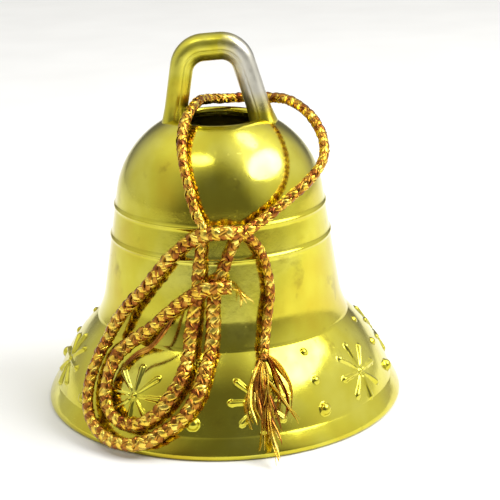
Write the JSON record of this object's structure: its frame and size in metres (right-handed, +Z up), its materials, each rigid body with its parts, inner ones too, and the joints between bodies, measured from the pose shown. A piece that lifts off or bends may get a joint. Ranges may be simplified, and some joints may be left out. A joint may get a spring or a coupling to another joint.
{
  "type": "christmas bell ornament",
  "caption": "Small gold hanging bell with a flared embossed lip, a hanging eye, a clapper on a crossbar, and a braided metallic cord tied through the eye.",
  "frame": {"origin": "centre of the mouth, on the surface that the bell stands on", "axes": "+Z up along the bell's axis; the hanging eye spans X, and the tied cord hangs on the -Y side"},
  "size_m": [0.05, 0.0514, 0.0513],
  "materials": {
    "gold_plating": "vacuum-plated plastic, bright greenish gold, slightly hazy",
    "wire": "bright drawn steel wire",
    "metallic_cord": "braid of flat orange-gold metallic film strips"
  },
  "bodies": {
    "bell": {"bell_shell": "gold_plating", "hanging_eye": "gold_plating", "clapper_crossbar": "wire", "cord_hanging_loop": "metallic_cord", "cord_knot": "metallic_cord", "cord_outer_turn": "metallic_cord", "cord_inner_turn": "metallic_cord", "cord_tail": "metallic_cord", "cord_frayed_end": "metallic_cord"},
    "link": {"clapper_link": "wire"},
    "clapper": {"clapper_wire": "wire", "clapper_ball": "gold_plating"}
  },
  "joints": [
    {"name": "link_swing", "type": "hinge", "parent": "bell", "child": "link", "pos_m": [0, 0, 0.0335], "axis": [1, 0, 0], "range_deg": [-26, 26]},
    {"name": "clapper_swing", "type": "hinge", "parent": "link", "child": "clapper", "pos_m": [0, 0, 0.0276], "axis": [0, 1, 0], "range_deg": [-16, 16]}
  ]
}
